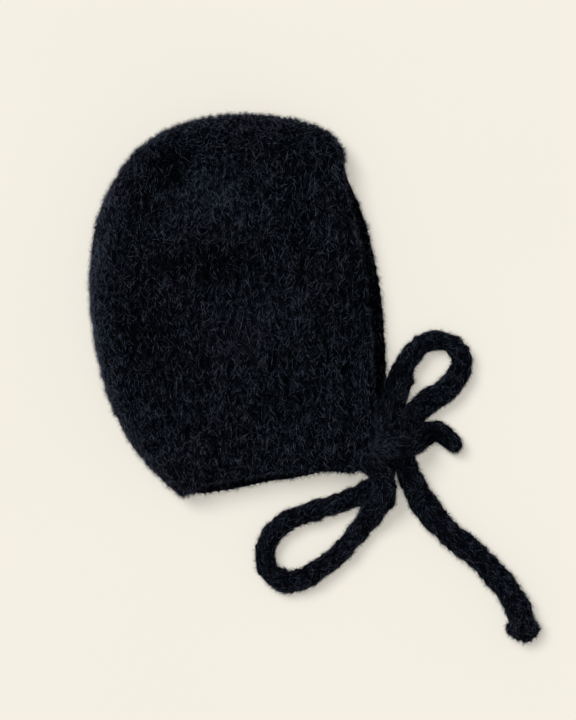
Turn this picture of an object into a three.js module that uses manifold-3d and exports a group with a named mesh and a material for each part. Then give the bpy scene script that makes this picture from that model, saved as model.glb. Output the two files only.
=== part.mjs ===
// A baby's knitted bonnet, lying flat on its side with its two cord ties in a bow.
// Millimetres, +Z up. X runs from the back of the head to the face, Y from the neck to the crown.
// The origin lies on the floor under the middle of the knitted shell.

import * as THREE from "three";
import { mergeVertices } from "three/addons/utils/BufferGeometryUtils.js";
import Module from "manifold-3d";

// Driving sizes of the shell
const SHELL_DEPTH = 133.6;
const SHELL_HEIGHT = 171.9;
const SHELL_THICKNESS = 30;
const OPEN_EDGE_THICKNESS = 16;
const WALL = 4;
const FOLD_REACH = 16;
const EDGE_ROLL = 1.2;

// Driving sizes of the ties
const CORD_DIAMETER = 9;
const KNOT_WIDTH = 15.4;
const KNOT_LENGTH = 21;
const KNOT_THICKNESS = 16;
const WRAP_SPAN = 12.8;
const WRAP_RISE = 8;
const WRAP_SHIFT = { x: 0.6, y: -0.4, up: 1.4 };
const WRAP_SLANT = 0.6;
const END_KNOT_WIDTH = 14.4;
const FIT_GAP = 0.3;
const FLOOR_GAP = 0.1;

// The fold round the back and the crown, from the back neck corner to the top of the face edge.
// x is a share of the depth from the back, y a share of the height from the neck.
const FOLD_OUTLINE = [
  { x: 0.303, y: 0.003 },
  { x: 0.182, y: 0.097 },
  { x: 0.098, y: 0.195 },
  { x: 0.038, y: 0.325 },
  { x: 0.006, y: 0.46 },
  { x: 0.0, y: 0.6 },
  { x: 0.022, y: 0.72 },
  { x: 0.077, y: 0.82 },
  { x: 0.162, y: 0.91 },
  { x: 0.285, y: 0.967 },
  { x: 0.434, y: 0.996 },
  { x: 0.56, y: 1.0 },
  { x: 0.69, y: 0.989 },
  { x: 0.785, y: 0.967 },
  { x: 0.83, y: 0.94 },
  { x: 0.85, y: 0.9 },
];
// The share of the fold's length at which the back turns into the crown
const BACK_SHARE = 0.565;

// The face edge from the tie corner upwards. The lower side reaches further than the upper one.
const FACE_EDGE = [
  { y: 0.088, upper: 0.938, lower: 0.938 },
  { y: 0.123, upper: 0.946, lower: 0.957 },
  { y: 0.175, upper: 0.957, lower: 0.978 },
  { y: 0.254, upper: 0.96, lower: 1.0 },
  { y: 0.385, upper: 0.949, lower: 0.997 },
  { y: 0.516, upper: 0.939, lower: 0.985 },
  { y: 0.594, upper: 0.926, lower: 0.971 },
  { y: 0.699, upper: 0.899, lower: 0.941 },
  { y: 0.777, upper: 0.879, lower: 0.911 },
  { y: 0.85, upper: 0.858, lower: 0.87 },
  { y: 0.9, upper: 0.85, lower: 0.85 },
];

// The neck edge from the tie corner to the back neck corner
const NECK_EDGE = [
  { x: 0.938, upper: 0.088, lower: 0.088 },
  { x: 0.912, upper: 0.073, lower: 0.074 },
  { x: 0.87, upper: 0.069, lower: 0.071 },
  { x: 0.811, upper: 0.075, lower: 0.073 },
  { x: 0.704, upper: 0.074, lower: 0.058 },
  { x: 0.596, upper: 0.068, lower: 0.045 },
  { x: 0.488, upper: 0.053, lower: 0.026 },
  { x: 0.38, upper: 0.034, lower: 0.01 },
  { x: 0.303, upper: 0.003, lower: 0.003 },
];

// Swells and dents of the upper side. Places and reaches are shares of the depth and the height,
// turn is in degrees from X, and rise is a share of the shell's thickness.
const RELIEF = [
  { form: "dent inside the crown roll", x: 0.26, y: 0.835, along: 0.13, across: 0.055, turn: 46, rise: -0.15 },
  { form: "pillow below the dent", x: 0.4, y: 0.715, along: 0.24, across: 0.085, turn: 22, rise: 0.15 },
  { form: "hollow behind the middle", x: 0.25, y: 0.39, along: 0.16, across: 0.12, turn: 75, rise: -0.15 },
  { form: "swell in the middle", x: 0.57, y: 0.42, along: 0.13, across: 0.09, turn: 10, rise: 0.09 },
  { form: "dent below the pillow", x: 0.45, y: 0.56, along: 0.17, across: 0.06, turn: 18, rise: -0.08 },
  { form: "ridge along the face edge", x: 0.79, y: 0.25, along: 0.16, across: 0.035, turn: 88, rise: 0.07 },
  { form: "furrow behind the ridge", x: 0.71, y: 0.26, along: 0.14, across: 0.035, turn: 88, rise: -0.05 },
  { form: "swell above the neck corner", x: 0.27, y: 0.13, along: 0.11, across: 0.08, turn: 120, rise: 0.1 },
  { form: "roll of the crown", x: 0.55, y: 0.92, along: 0.24, across: 0.04, turn: -4, rise: 0.06 },
  { form: "slope under the crown roll", x: 0.66, y: 0.82, along: 0.14, across: 0.05, turn: -8, rise: -0.07 },
];

// How far in from the open edges the shell reaches its full thickness, as a share of its grid
const FACE_RISE_SHARE = 0.62;
const NECK_RISE_SHARE = 0.55;
const NECK_EDGE_RAISE = 0.12;

// Divisions of the shell's grid
const FOLD_STEPS = 6;
const FLAT_STEPS = 19;
const CROWN_STEPS = 6;
const RISE_STEPS = 28;

// The tie corner, where both ties begin and which the bow is placed from
const TIE_CORNER = {
  x: (FACE_EDGE[0].upper - 0.5) * SHELL_DEPTH,
  y: (FACE_EDGE[0].y - 0.5) * SHELL_HEIGHT,
};

// The bow's routes, measured from the tie corner. Each row is x, y and the lift above lying on
// the floor, in cord diameters.
const UPPER_ROOT_ROUTE = [
  [2.2, -1.4, 1.05],
  [4.9, -5.0, 1.06],
  [7.0, -9.2, 1.03],
];
const LOWER_ROOT_ROUTE = [
  [4.0, 2.7, 0],
  [6.8, 4.0, 0],
  [9.6, 6.6, 0.1],
];
const UPPER_LOOP_ROUTE = [
  [11.6, 9.5, 1.0],
  [11.9, 15.5, 1.05],
  [12.1, 21.5, 0.75],
  [12.4, 28.0, 0.32],
  [13.4, 35.5, 0.05],
  [15.6, 42.2, 0],
  [18.6, 48.0, 0],
  [22.6, 52.6, 0],
  [27.6, 55.1, 0],
  [33.2, 55.2, 0],
  [38.2, 53.2, 0],
  [41.2, 48.8, 0],
  [41.4, 42.9, 0],
  [38.7, 37.5, 0],
  [34.4, 32.8, 0],
  [29.0, 29.2, 0],
  [23.8, 25.6, 0],
  [20.0, 21.4, 0],
  [17.2, 16.0, 0],
  [15.8, 10.5, 0.05],
];
const LOWER_LOOP_ROUTE = [
  [12.0, 4.6, 0.15],
  [9.8, -1.6, 0.03],
  [6.9, -7.0, 0],
  [3.0, -10.2, 0],
  [-2.7, -13.4, 0],
  [-9.9, -16.5, 0],
  [-17.1, -19.2, 0],
  [-24.3, -21.6, 0],
  [-31.5, -23.9, 0],
  [-38.7, -27.5, 0],
  [-44.1, -32.4, 0],
  [-46.9, -38.7, 0],
  [-46.6, -45.0, 0],
  [-43.7, -50.4, 0],
  [-38.3, -53.4, 0],
  [-31.5, -52.7, 0],
  [-24.3, -49.3, 0],
  [-17.1, -44.1, 0],
  [-9.9, -36.9, 0],
  [-3.2, -28.8, 0.03],
  [2.5, -20.7, 0.28],
  [5.6, -16.6, 0.64],
  [7.1, -12.9, 0.95],
];
const LONG_TAIL_ROUTE = [
  [15.6, 4.6, 0.08],
  [16.6, -0.4, 0.03],
  [18.0, -5.0, 0.01],
  [20.0, -10.0, 0],
  [22.7, -15.4, 0],
  [26.1, -20.7, 0],
  [30.2, -25.7, 0],
  [35.6, -31.1, 0],
  [41.9, -36.5, 0],
  [48.6, -41.9, 0],
  [54.0, -47.3, 0],
  [58.5, -52.7, 0],
  [63.0, -58.1, 0],
  [66.2, -63.0, 0],
  [68.2, -68.4, 0],
  [69.0, -72.4, 0],
];
const SHORT_TAIL_ROUTE = [
  [16.0, 6.8, 0.5],
  [19.6, 8.2, 0.3],
  [22.6, 10.3, 0.1],
  [25.8, 12.7, 0],
  [29.8, 14.2, 0],
  [33.9, 12.6, 0],
  [37.0, 9.4, 0],
  [38.9, 5.8, 0],
];
const KNOT_PLACE = [12.4, 7.6];
const END_KNOT_PLACE = [69.3, -73.8];

// Lumps of the end knot, in shares of its width from its middle
const END_KNOT_LUMPS = [
  { x: 0, y: 0, reach: 0.46 },
  { x: 0.27, y: -0.1, reach: 0.27 },
  { x: 0.1, y: -0.25, reach: 0.25 },
  { x: -0.26, y: -0.06, reach: 0.27 },
];
const END_KNOT_FLATNESS = 0.78;
const CORD_SIDES = 10;
const BALL_SIDES = 14;
const BALL_RINGS = 10;

const wasm = await Module();
wasm.setup();

const smooth = (share) => {
  const held = Math.min(Math.max(share, 0), 1);
  return held * held * (3 - 2 * held);
};

// A plan curve through the rows of a table, in millimetres from the middle of the shell
function planCurve(rows) {
  const points = rows.map((row) => new THREE.Vector3(
    (row.x - 0.5) * SHELL_DEPTH,
    (row.y - 0.5) * SHELL_HEIGHT,
    0,
  ));
  return new THREE.CatmullRomCurve3(points, false, "centripetal");
}

const foldCurve = planCurve(FOLD_OUTLINE);
const FOLD_SAMPLES = 220;
const foldPoints = foldCurve.getSpacedPoints(FOLD_SAMPLES);

const sides = {
  upper: {
    face: planCurve(FACE_EDGE.map((row) => ({ x: row.upper, y: row.y }))),
    neck: planCurve(NECK_EDGE.map((row) => ({ x: row.x, y: row.upper }))),
  },
  lower: {
    face: planCurve(FACE_EDGE.map((row) => ({ x: row.lower, y: row.y }))),
    neck: planCurve(NECK_EDGE.map((row) => ({ x: row.x, y: row.lower }))),
  },
};

// The fold's nearest point to a place in plan, with the inward direction there
function nearFold(place) {
  let best = { distance: Infinity, inward: new THREE.Vector3() };
  for (let i = 0; i < FOLD_SAMPLES; i += 1) {
    const start = foldPoints[i];
    const run = foldPoints[i + 1].clone().sub(start);
    const share = THREE.MathUtils.clamp(place.clone().sub(start).dot(run) / run.lengthSq(), 0, 1);
    const foot = start.clone().addScaledVector(run, share);
    const distance = foot.distanceTo(place);
    if (distance < best.distance) {
      best = { distance, inward: new THREE.Vector3(run.y, -run.x, 0).normalize() };
    }
  }
  return best;
}

// A side of the shell in plan is a patch between its four edges. back is 0 at the face edge and 1
// at the fold of the back, up is 0 at the neck edge and 1 at the crown.
function planPoint(side, back, up) {
  const { face, neck } = sides[side];
  const faceEnd = face.getPointAt(up);
  const foldEnd = foldCurve.getPointAt(BACK_SHARE * up);
  const neckEnd = neck.getPointAt(back);
  const crownEnd = foldCurve.getPointAt(1 - (1 - BACK_SHARE) * back);
  const point = neckEnd.multiplyScalar(1 - up).addScaledVector(crownEnd, up);
  point.addScaledVector(faceEnd, 1 - back).addScaledVector(foldEnd, back);
  point.addScaledVector(face.getPointAt(0), -(1 - back) * (1 - up));
  point.addScaledVector(face.getPointAt(1), -(1 - back) * up);
  point.addScaledVector(foldCurve.getPointAt(0), -back * (1 - up));
  point.addScaledVector(foldCurve.getPointAt(BACK_SHARE), -back * up);
  return point;
}

// The thickness of the lying shell without its relief
function plainThickness(back, up) {
  const share = smooth(back / FACE_RISE_SHARE) * smooth((up + NECK_EDGE_RAISE) / NECK_RISE_SHARE);
  return OPEN_EDGE_THICKNESS + (SHELL_THICKNESS - OPEN_EDGE_THICKNESS) * share;
}

function relief(point) {
  let rise = 0;
  for (const row of RELIEF) {
    const turn = THREE.MathUtils.degToRad(row.turn);
    const dx = point.x - (row.x - 0.5) * SHELL_DEPTH;
    const dy = point.y - (row.y - 0.5) * SHELL_HEIGHT;
    const along = (dx * Math.cos(turn) + dy * Math.sin(turn)) / (row.along * SHELL_DEPTH);
    const across = (dy * Math.cos(turn) - dx * Math.sin(turn)) / (row.across * SHELL_HEIGHT);
    rise += row.rise * SHELL_THICKNESS * Math.exp(-(along * along + across * across));
  }
  return rise;
}

// The round nose of the fold: 0 on the fold line, 1 from its reach inwards
function nose(distance, reach) {
  const share = THREE.MathUtils.clamp(1 - distance / reach, 0, 1);
  return Math.sqrt(1 - share * share);
}

// A point of the shell's outside, or of its inside where depth is the wall
function shellPoint(side, back, up, depth) {
  const point = planPoint(side, back, up);
  const outer = nearFold(point);
  const pull = THREE.MathUtils.clamp(1 - outer.distance / (3 * FOLD_REACH), 0, 1);
  point.addScaledVector(outer.inward, depth * pull * pull);
  const onFold = back === 1 || up === 1;
  const distance = onFold ? 0 : Math.max(nearFold(point).distance - depth, 0);
  const round = nose(distance, FOLD_REACH - depth);
  const thickness = plainThickness(back, up);
  const foldHeight = thickness / 2;
  const top = thickness + relief(point) - depth;
  point.z = side === "upper"
    ? foldHeight + (top - foldHeight) * round
    : foldHeight - (foldHeight - depth) * round;
  return point;
}

// Shares from an open edge, 0, to the fold, 1, close together on the round of the fold
function gridShares(flatSteps, roundSteps, length) {
  const roundShare = FOLD_REACH / length;
  const shares = [];
  for (let i = 0; i < flatSteps; i += 1) {
    shares.push((1 - roundShare) * i / flatSteps);
  }
  for (let i = 0; i <= roundSteps; i += 1) {
    const angle = (Math.PI / 2) * (1 - i / roundSteps);
    shares.push(1 - roundShare * (1 - Math.cos(angle)));
  }
  return shares;
}

// The knitted shell is one wall: both sides joined round the back and over the crown, open at
// the face and the neck.
function shellGeometry() {
  const backShares = gridShares(FLAT_STEPS, FOLD_STEPS, SHELL_DEPTH);
  const upShares = gridShares(RISE_STEPS, CROWN_STEPS, SHELL_HEIGHT);
  const foldColumn = backShares.length - 1;
  const lastColumn = 2 * foldColumn;
  const crownRow = upShares.length - 1;
  const vertices = [];
  const triangles = [];
  const addVertex = (point) => {
    vertices.push(point);
    return vertices.length - 1;
  };
  const addQuad = (a, b, c, d) => {
    triangles.push(a, b, c, a, c, d);
  };

  // Both faces of the wall, with the crown's last row shared by the two sides
  const skins = [0, WALL].map((depth) => {
    const grid = [];
    for (let column = 0; column <= lastColumn; column += 1) {
      const mirrored = lastColumn - column;
      const side = column <= foldColumn ? "upper" : "lower";
      const back = backShares[Math.min(column, mirrored)];
      const ids = upShares.slice(0, crownRow).map((up) => addVertex(shellPoint(side, back, up, depth)));
      ids.push(side === "upper" ? addVertex(shellPoint(side, back, 1, depth)) : grid[mirrored][crownRow]);
      grid.push(ids);
    }
    return grid;
  });
  for (let i = 0; i < lastColumn; i += 1) {
    for (let j = 0; j < crownRow; j += 1) {
      const [outside, inside] = skins;
      addQuad(outside[i][j], outside[i][j + 1], outside[i + 1][j + 1], outside[i + 1][j]);
      addQuad(inside[i][j], inside[i + 1][j], inside[i + 1][j + 1], inside[i][j + 1]);
    }
  }

  // The open rim: round the face edge of both sides and along both neck edges
  const rim = [];
  for (let j = 0; j <= crownRow; j += 1) {
    rim.push({ column: 0, row: j, next: [1, Math.max(j, 1)] });
  }
  for (let j = crownRow - 1; j >= 0; j -= 1) {
    rim.push({ column: lastColumn, row: j, next: [lastColumn - 1, Math.max(j, 1)] });
  }
  for (let i = lastColumn - 1; i > 0; i -= 1) {
    rim.push({ column: i, row: 0, next: [i, 1] });
  }
  const middle = (column, row) => skins
    .map((grid) => vertices[grid[column][row]])
    .reduce((sum, point) => sum.add(point), new THREE.Vector3())
    .multiplyScalar(1 / skins.length);
  const lip = rim.map(({ column, row, next }) => {
    const edge = middle(column, row);
    const outwards = edge.clone().sub(middle(...next)).normalize();
    return addVertex(edge.addScaledVector(outwards, EDGE_ROLL));
  });
  rim.forEach(({ column, row }, index) => {
    const following = (index + 1) % rim.length;
    const after = rim[following];
    const [here, there] = skins.map((grid) => grid[column][row]);
    const [hereAfter, thereAfter] = skins.map((grid) => grid[after.column][after.row]);
    addQuad(hereAfter, here, lip[index], lip[following]);
    addQuad(lip[following], lip[index], there, thereAfter);
  });

  const geometry = new THREE.BufferGeometry();
  const positions = vertices.flatMap((point) => [point.x, point.y, point.z]);
  geometry.setAttribute("position", new THREE.Float32BufferAttribute(positions, 3));
  geometry.setIndex(triangles);

  // The named depth and height are the shell's own box
  geometry.computeBoundingBox();
  const box = geometry.boundingBox;
  const size = box.getSize(new THREE.Vector3());
  const centre = box.getCenter(new THREE.Vector3());
  geometry.translate(-centre.x, -centre.y, -box.min.z);
  geometry.scale(SHELL_DEPTH / size.x, SHELL_HEIGHT / size.y, 1);
  geometry.computeVertexNormals();
  return geometry;
}

function solidFrom(geometry) {
  const bare = geometry.clone();
  bare.deleteAttribute("normal");
  bare.deleteAttribute("uv");
  const merged = mergeVertices(bare, 1e-4);
  return new wasm.Manifold(new wasm.Mesh({
    numProp: 3,
    vertProperties: new Float32Array(merged.attributes.position.array),
    triVerts: new Uint32Array(merged.index.array),
  }));
}

// Slivers that a cut leaves are closed up to this length
const SLIVER = 0.02;

function geometryFrom(solid) {
  const { vertProperties, triVerts } = solid.simplify(SLIVER).getMesh();
  const geometry = new THREE.BufferGeometry();
  geometry.setAttribute("position", new THREE.BufferAttribute(vertProperties, 3));
  geometry.setIndex(new THREE.BufferAttribute(triVerts, 1));
  geometry.computeVertexNormals();
  return geometry;
}

// A round cord along a curve, from the floor's reckoning in cord diameters
const restHeight = CORD_DIAMETER / 2 + FLOOR_GAP;
const routePoint = ([x, y, lift]) => new THREE.Vector3(x, y, restHeight + lift * CORD_DIAMETER);

function tubeGeometry(points, radius, steps) {
  const section = new THREE.Shape();
  section.absarc(0, 0, radius, 0, 2 * Math.PI, false);
  return new THREE.ExtrudeGeometry(section, {
    steps,
    curveSegments: CORD_SIDES / 2,
    bevelEnabled: false,
    extrudePath: new THREE.CatmullRomCurve3(points, false, "centripetal"),
  });
}

function ellipsoidGeometry(place, radii) {
  const geometry = new THREE.SphereGeometry(1, BALL_SIDES, BALL_RINGS);
  geometry.scale(radii[0], radii[1], radii[2]);
  geometry.translate(place[0], place[1], place[2]);
  return geometry;
}

// The bow's knot: a core with the wrap that crosses over it
function bowKnotSolid(clearance) {
  const height = KNOT_THICKNESS / 2 + FLOOR_GAP;
  const radii = [KNOT_WIDTH, KNOT_LENGTH, KNOT_THICKNESS].map((size) => size / 2 + clearance);
  const core = solidFrom(ellipsoidGeometry([...KNOT_PLACE, height], radii));
  const wrapPoints = [];
  const wrapSteps = 8;
  for (let i = 0; i <= wrapSteps; i += 1) {
    const angle = Math.PI * (1 - i / wrapSteps);
    wrapPoints.push(new THREE.Vector3(
      KNOT_PLACE[0] + WRAP_SHIFT.x + (WRAP_SPAN / 2) * Math.cos(angle),
      KNOT_PLACE[1] + WRAP_SHIFT.y + WRAP_SLANT * Math.cos(angle),
      restHeight + WRAP_SHIFT.up + WRAP_RISE * Math.sin(angle),
    ));
  }
  wrapPoints.at(0).z -= clearance;
  wrapPoints.at(-1).z -= clearance;
  return core.add(solidFrom(tubeGeometry(wrapPoints, CORD_DIAMETER / 2 + clearance, wrapSteps)));
}

function endKnotSolid(clearance) {
  const height = (END_KNOT_WIDTH * END_KNOT_FLATNESS) / 2 + FLOOR_GAP;
  const lumps = END_KNOT_LUMPS.map(({ x, y, reach }) => {
    const radius = reach * END_KNOT_WIDTH + clearance;
    const place = [
      END_KNOT_PLACE[0] + x * END_KNOT_WIDTH,
      END_KNOT_PLACE[1] + y * END_KNOT_WIDTH,
      height,
    ];
    return solidFrom(ellipsoidGeometry(place, [radius, radius, radius * END_KNOT_FLATNESS]));
  });
  return lumps.reduce((joined, lump) => joined.add(lump));
}

const yarn = { color: 0x0d0f15, roughness: 0.95, metalness: 0 };

function namedMesh(name, geometry) {
  const mesh = new THREE.Mesh(geometry, new THREE.MeshStandardMaterial({ ...yarn }));
  mesh.name = name;
  return mesh;
}

const bowKnot = bowKnotSolid(0);
const endKnot = endKnotSolid(0);
let taken = bowKnotSolid(FIT_GAP).add(endKnotSolid(FIT_GAP));

// The same points, with both ends pushed out along the curve
function lengthened(points, reach) {
  const longer = points.map((point) => point.clone());
  const start = points[0].clone().sub(points[1]).setLength(reach);
  const end = points.at(-1).clone().sub(points.at(-2)).setLength(reach);
  longer[0].add(start);
  longer.at(-1).add(end);
  return longer;
}

// A stretch of tie, cut back from the knots that it runs into and flattened a little where it
// presses on the stretches before it
function tieMesh(name, route, steps) {
  const points = route.map(routePoint);
  const tube = solidFrom(tubeGeometry(points, CORD_DIAMETER / 2, steps));
  const mesh = namedMesh(name, geometryFrom(tube.subtract(taken)));
  const room = tubeGeometry(lengthened(points, FIT_GAP), CORD_DIAMETER / 2 + FIT_GAP, steps);
  taken = taken.add(solidFrom(room));
  return mesh;
}

const bow = new THREE.Group();
bow.position.set(TIE_CORNER.x, TIE_CORNER.y, 0);
bow.add(namedMesh("bow_knot", geometryFrom(bowKnot)));
bow.add(namedMesh("end_knot", geometryFrom(endKnot)));
bow.add(tieMesh("upper_tie_root", UPPER_ROOT_ROUTE, 2));
bow.add(tieMesh("lower_tie_root", LOWER_ROOT_ROUTE, 2));
bow.add(tieMesh("upper_loop", UPPER_LOOP_ROUTE, 20));
bow.add(tieMesh("lower_loop", LOWER_LOOP_ROUTE, 26));
bow.add(tieMesh("long_tail", LONG_TAIL_ROUTE, 14));
bow.add(tieMesh("short_tail", SHORT_TAIL_ROUTE, 8));

const bonnet = new THREE.Group();
bonnet.add(namedMesh("bonnet_shell", shellGeometry()));
bonnet.add(bow);

export default bonnet;
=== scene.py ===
import math

import bmesh
import bpy
import numpy as np
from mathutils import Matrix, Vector
from mathutils.bvhtree import BVHTree
from mathutils.geometry import convex_hull_2d


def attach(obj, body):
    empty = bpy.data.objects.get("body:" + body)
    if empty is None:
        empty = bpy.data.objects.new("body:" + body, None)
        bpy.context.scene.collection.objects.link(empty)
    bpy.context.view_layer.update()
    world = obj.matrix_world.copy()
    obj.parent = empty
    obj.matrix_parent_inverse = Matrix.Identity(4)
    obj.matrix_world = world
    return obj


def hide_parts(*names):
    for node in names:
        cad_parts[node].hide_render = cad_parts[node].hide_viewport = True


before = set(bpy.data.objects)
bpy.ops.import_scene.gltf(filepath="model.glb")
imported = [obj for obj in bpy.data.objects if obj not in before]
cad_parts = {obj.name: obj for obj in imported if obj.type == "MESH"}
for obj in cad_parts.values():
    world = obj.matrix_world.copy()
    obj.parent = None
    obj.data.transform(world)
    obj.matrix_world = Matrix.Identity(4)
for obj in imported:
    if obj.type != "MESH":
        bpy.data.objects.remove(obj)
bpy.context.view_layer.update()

MM = 0.001

# The photograph looks straight down on the lying bonnet
PHOTO_WIDTH_PX = 576
PHOTO_HEIGHT_PX = 720
MM_PER_PX = 0.45
SHELL_MIDDLE_PX = (239.5, 306.0)
CAMERA_HEIGHT = 1.5
SENSOR_WIDTH = 36.0
MIDDLE_OF_PILE = 0.01


def from_pixel(x, y, z=0.0):
    """A place in the frame, in metres, from a pixel of the photograph and a height."""
    return Vector((
        (x - SHELL_MIDDLE_PX[0]) * MM_PER_PX * MM,
        (SHELL_MIDDLE_PX[1] - y) * MM_PER_PX * MM,
        z,
    ))


def add_camera():
    data = bpy.data.cameras.new("camera")
    camera = bpy.data.objects.new("camera", data)
    bpy.context.scene.collection.objects.link(camera)
    camera.location = from_pixel(PHOTO_WIDTH_PX / 2, PHOTO_HEIGHT_PX / 2, CAMERA_HEIGHT)
    data.sensor_fit = "HORIZONTAL"
    data.sensor_width = SENSOR_WIDTH
    frame_width = PHOTO_WIDTH_PX * MM_PER_PX * MM
    data.lens = SENSOR_WIDTH * (CAMERA_HEIGHT - MIDDLE_OF_PILE) / frame_width
    data.clip_end = 20.0
    bpy.context.scene.camera = camera


# The ties' routes, as the frame's solids lie: x and y in millimetres from the tie corner, and the
# lift above lying on the floor in cord diameters
CORD_DIAMETER = 9.0
REST_HEIGHT = CORD_DIAMETER / 2 + 0.1
TIE_CORNER = (58.5168, -70.8228)

UPPER_TIE_ROUTE = [
    (-3.4, 1.2, 0.98),
    (-0.8, -0.2, 1.03),
    (2.2, -2.2, 1.06),
    (5.2, -5.6, 1.08),
    (7.0, -9.4, 1.05),
    (6.8, -13.6, 0.92),
    (4.4, -18.2, 0.55),
    (0.6, -23.4, 0.18),
    (-4.0, -29.8, 0.02),
    (-9.9, -36.9, 0),
    (-17.1, -44.1, 0),
    (-24.3, -49.3, 0),
    (-31.5, -52.7, 0),
    (-38.3, -53.4, 0),
    (-43.7, -50.4, 0),
    (-46.6, -45.0, 0),
    (-46.9, -38.7, 0),
    (-44.1, -32.4, 0),
    (-38.7, -27.5, 0),
    (-31.5, -23.9, 0),
    (-24.3, -21.6, 0),
    (-17.1, -19.2, 0),
    (-9.9, -16.5, 0),
    (-2.7, -13.4, 0),
    (3.0, -10.2, 0),
    (6.6, -6.6, 0),
    (8.0, -2.0, 0.04),
    (6.7, 2.8, 0.26),
    (6.3, 6.4, 0.8),
    (9.2, 7.6, 1.3),
    (13.4, 7.4, 1.42),
    (17.2, 7.9, 1.2),
    (20.4, 9.4, 0.62),
    (23.2, 11.4, 0.12),
    (26.6, 13.4, 0),
    (30.4, 14.3, 0),
    (34.2, 12.5, 0),
    (37.6, 9.0, 0),
    (39.8, 5.0, 0),
]
LOWER_TIE_ROUTE = [
    (0.2, 0.4, 0),
    (4.0, 2.7, 0),
    (7.0, 5.4, 0.1),
    (8.0, 8.8, 0.6),
    (8.9, 13.6, 1.0),
    (9.5, 19.0, 0.9),
    (10.4, 25.0, 0.5),
    (11.6, 31.0, 0.17),
    (13.4, 36.4, 0.02),
    (15.6, 42.2, 0),
    (18.6, 48.0, 0),
    (22.6, 52.6, 0),
    (27.6, 55.1, 0),
    (33.2, 55.2, 0),
    (38.2, 53.2, 0),
    (41.2, 48.8, 0),
    (41.4, 42.9, 0),
    (38.7, 37.5, 0),
    (34.4, 32.8, 0),
    (29.0, 29.2, 0),
    (23.8, 25.6, 0),
    (19.8, 21.4, 0.12),
    (17.2, 16.0, 0.36),
    (15.9, 10.2, 0.4),
    (15.7, 4.6, 0.25),
    (16.6, -0.4, 0.07),
    (18.0, -5.0, 0.01),
    (20.0, -10.0, 0),
    (22.7, -15.4, 0),
    (26.1, -20.7, 0),
    (30.2, -25.7, 0),
    (35.6, -31.1, 0),
    (41.9, -36.5, 0),
    (48.6, -41.9, 0),
    (54.0, -47.3, 0),
    (58.5, -52.7, 0),
    (63.0, -58.1, 0),
    (66.2, -63.0, 0),
    (68.2, -68.4, 0),
    (69.0, -72.0, 0),
]

# Where the ties are fuller or thinner: the middle and reach of the stretch along the tie, in
# millimetres, and by what share
UPPER_TIE_SWELLS = [(25, 8, 0.2), (212, 7, 0.16), (231, 10, -0.2)]
LOWER_TIE_SWELLS = [
    (22, 9, 0.14), (41, 11, 0.28), (115, 12, 0.28), (166, 14, 0.2), (196, 36, 0.22), (233, 7, 0.24),
]


def route_points(route):
    """The route's points in the frame, in metres."""
    rows = np.array(route, dtype=float)
    rows[:, 0] += TIE_CORNER[0]
    rows[:, 1] += TIE_CORNER[1]
    rows[:, 2] = REST_HEIGHT + rows[:, 2] * CORD_DIAMETER
    return rows * MM


CURVE_SAMPLES = 60


def smooth_path(points, step):
    """Points at even steps along a centripetal curve through the given ones."""
    ends = [2 * points[0] - points[1]], [2 * points[-1] - points[-2]]
    line = np.concatenate([ends[0], points, ends[1]])
    knots = np.concatenate([[0], np.cumsum(np.linalg.norm(np.diff(line, axis=0), axis=1) ** 0.5)])
    pieces = []
    for i in range(1, len(line) - 2):
        k0, k1, k2, k3 = knots[i - 1:i + 3]
        p0, p1, p2, p3 = line[i - 1:i + 3]
        t = np.linspace(k1, k2, CURVE_SAMPLES, endpoint=False)[:, None]
        a1 = (k1 - t) / (k1 - k0) * p0 + (t - k0) / (k1 - k0) * p1
        a2 = (k2 - t) / (k2 - k1) * p1 + (t - k1) / (k2 - k1) * p2
        a3 = (k3 - t) / (k3 - k2) * p2 + (t - k2) / (k3 - k2) * p3
        b1 = (k2 - t) / (k2 - k0) * a1 + (t - k0) / (k2 - k0) * a2
        b2 = (k3 - t) / (k3 - k1) * a2 + (t - k1) / (k3 - k1) * a3
        pieces.append((k2 - t) / (k2 - k1) * b1 + (t - k1) / (k2 - k1) * b2)
    dense = np.concatenate(pieces + [points[-1:]])
    along = np.concatenate([[0], np.cumsum(np.linalg.norm(np.diff(dense, axis=0), axis=1))])
    count = max(2, round(along[-1] / step) + 1)
    even = np.linspace(0, along[-1], count)
    path = np.stack([np.interp(even, along, dense[:, k]) for k in range(3)], axis=1)
    return path, along[-1]


def eased(path, rounds=8):
    """The path with its small kinks eased, its two ends kept."""
    path = path.copy()
    for _ in range(rounds):
        path[1:-1] = 0.5 * path[1:-1] + 0.25 * (path[:-2] + path[2:])
    return path


# Knitting: how wide a stitch is across the shell, how long a row is and how deep they stand, in
# millimetres, how many rows a stitch's legs slant over, and how far from the fold the fabric turns
# down, in millimetres
STITCH_WIDTH = 6.7
ROW_LENGTH = 4.15
STITCH_DEPTH = 1.5
STITCH_SLANT = 1.5
FOLD_REACH = 16.0
CORD_WALES = 4
CORD_STITCH_DEPTH = 0.9

# The stitch columns are counted from one this far from the back, in metres. They grow narrower
# below the height where they run straight, and never less wide than this share
FACE_WALE = 0.129
STRAIGHT_WALES = 0.005
NARROWEST_WALE = 0.74


def smooth_noise(points, size, seed):
    """Soft noise from about -1 to 1, from a few sines in seeded directions."""
    random = np.random.default_rng(seed)
    total = np.zeros(len(points))
    waves = 14
    for _ in range(waves):
        direction = random.normal(size=3)
        direction /= np.linalg.norm(direction)
        pitch = size * random.uniform(0.7, 1.6)
        total += np.sin(points @ direction * (2 * math.pi / pitch) + random.uniform(0, 2 * math.pi))
    return total / math.sqrt(waves / 2) / 1.6


def stitch_height(across, along):
    """How high the knit stands, from 0 in its grooves to 1.

    The places are counted in stitches across and rows along."""
    half = np.abs((across % 1.0) - 0.5) * 2
    leg = np.sin(np.pi * np.clip(half, 0, 1)) ** 0.7
    beat = 0.5 + 0.5 * np.cos(2 * np.pi * (along - STITCH_SLANT * half))
    return leg * (0.35 + 0.65 * beat ** 0.7)


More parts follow.
